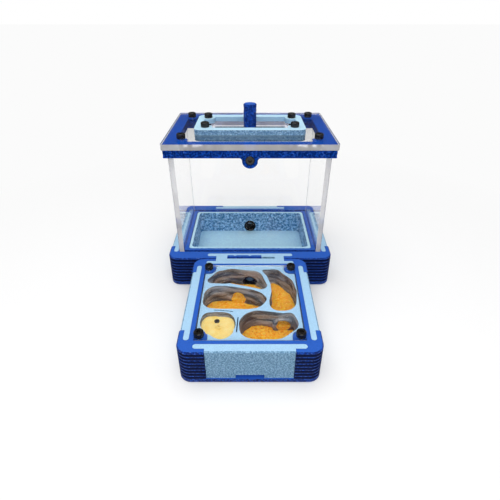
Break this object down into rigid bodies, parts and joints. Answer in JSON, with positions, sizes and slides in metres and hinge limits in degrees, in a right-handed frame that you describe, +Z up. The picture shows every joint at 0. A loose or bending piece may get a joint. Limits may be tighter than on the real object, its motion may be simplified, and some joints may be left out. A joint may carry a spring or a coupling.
{
  "type": "ant habitat",
  "caption": "Modular formicarium: clear foraging box with a lift-off lid and hatch, joined by a gated tunnel to a low nest with carved chambers under a clear cover.",
  "frame": {"origin": "on the floor, midway along the joined modules, where nest and foraging box meet", "axes": "+Z up, +Y from the nest to the foraging box, +X to the right seen from the nest"},
  "size_m": [0.1516, 0.2216, 0.1546],
  "materials": {
    "printed_blue": "3-D printed, fine fuzzy side walls",
    "printed_light_blue": "3-D printed, fine fuzzy side walls",
    "printed_black": "3-D printed",
    "clear_acrylic": "clear cast sheet, saw-cut edges",
    "black_rubber": "smooth",
    "steel_mesh": "woven stainless mesh",
    "orange_sand": "bonded grains",
    "yellow_plate": "smooth, porous",
    "black_screw": "black oxide"
  },
  "bodies": {
    "habitat": {"outworld_base": "printed_blue", "nest_base": "printed_blue", "outworld_tray": "printed_light_blue", "module_connector": "printed_light_blue", "nest_insert": "printed_light_blue", "arena_front_wall": "clear_acrylic", "arena_back_wall": "clear_acrylic", "arena_left_wall": "clear_acrylic", "arena_right_wall": "clear_acrylic", "nest_cover": "clear_acrylic", "port_grommet": "black_rubber", "nest_sleeve": "black_rubber", "fill_port_plug": "steel_mesh", "sand_bed_entry": "orange_sand", "sand_bed_right": "orange_sand", "sand_bed_middle": "orange_sand", "sand_bed_front": "orange_sand", "reservoir_plate": "yellow_plate", "nest_screw_front_left": "black_screw", "nest_screw_front_right": "black_screw", "nest_screw_back_left": "black_screw", "nest_screw_back_right": "black_screw"},
    "lid": {"lid_frame": "printed_blue", "lid_plate": "clear_acrylic", "hatch_ring_upper": "printed_light_blue", "hatch_ring_lower": "printed_light_blue", "lid_screw_front_left": "black_screw", "lid_screw_front_right": "black_screw", "lid_screw_back_left": "black_screw", "lid_screw_back_right": "black_screw", "hatch_screw_front_left": "black_screw", "hatch_screw_front_right": "black_screw", "hatch_screw_back_left": "black_screw", "hatch_screw_back_right": "black_screw"},
    "hatch_door": {"hatch_frame": "printed_black", "hatch_mesh": "steel_mesh", "hatch_knob": "printed_blue", "knob_screw": "black_screw"},
    "gate": {"gate_slider": "printed_blue"},
    "lock": {"lock_screw": "black_screw"},
    "back_clip": {"outworld_clip_back": "printed_light_blue"},
    "left_clip": {"outworld_clip_left": "printed_light_blue"},
    "right_clip": {"outworld_clip_right": "printed_light_blue"},
    "nest_front_clip": {"nest_clip_front": "printed_light_blue"},
    "nest_left_clip": {"nest_clip_left": "printed_light_blue"},
    "nest_right_clip": {"nest_clip_right": "printed_light_blue"}
  },
  "joints": [
    {"name": "lid_lift", "type": "slide", "parent": "habitat", "child": "lid", "axis": [0, 0, 1], "range_m": [0, 0.05]},
    {"name": "hatch_lift", "type": "slide", "parent": "lid", "child": "hatch_door", "axis": [0, 0, 1], "range_m": [0, 0.03]},
    {"name": "gate_slide", "type": "slide", "parent": "habitat", "child": "gate", "axis": [1, 0, 0], "range_m": [0, 0.012]},
    {"name": "lock_turn", "type": "hinge", "parent": "lid", "child": "lock", "pos_m": [0, 0.005, 0.1218], "axis": [0, -1, 0], "range_deg": [0, 720]},
    {"name": "back_clip_lift", "type": "slide", "parent": "habitat", "child": "back_clip", "axis": [0, 0, 1], "range_m": [0, 0.03]},
    {"name": "left_clip_lift", "type": "slide", "parent": "habitat", "child": "left_clip", "axis": [0, 0, 1], "range_m": [0, 0.03]},
    {"name": "right_clip_lift", "type": "slide", "parent": "habitat", "child": "right_clip", "axis": [0, 0, 1], "range_m": [0, 0.03]},
    {"name": "nest_front_clip_lift", "type": "slide", "parent": "habitat", "child": "nest_front_clip", "axis": [0, 0, 1], "range_m": [0, 0.03]},
    {"name": "nest_left_clip_lift", "type": "slide", "parent": "habitat", "child": "nest_left_clip", "axis": [0, 0, 1], "range_m": [0, 0.03]},
    {"name": "nest_right_clip_lift", "type": "slide", "parent": "habitat", "child": "nest_right_clip", "axis": [0, 0, 1], "range_m": [0, 0.03]}
  ]
}
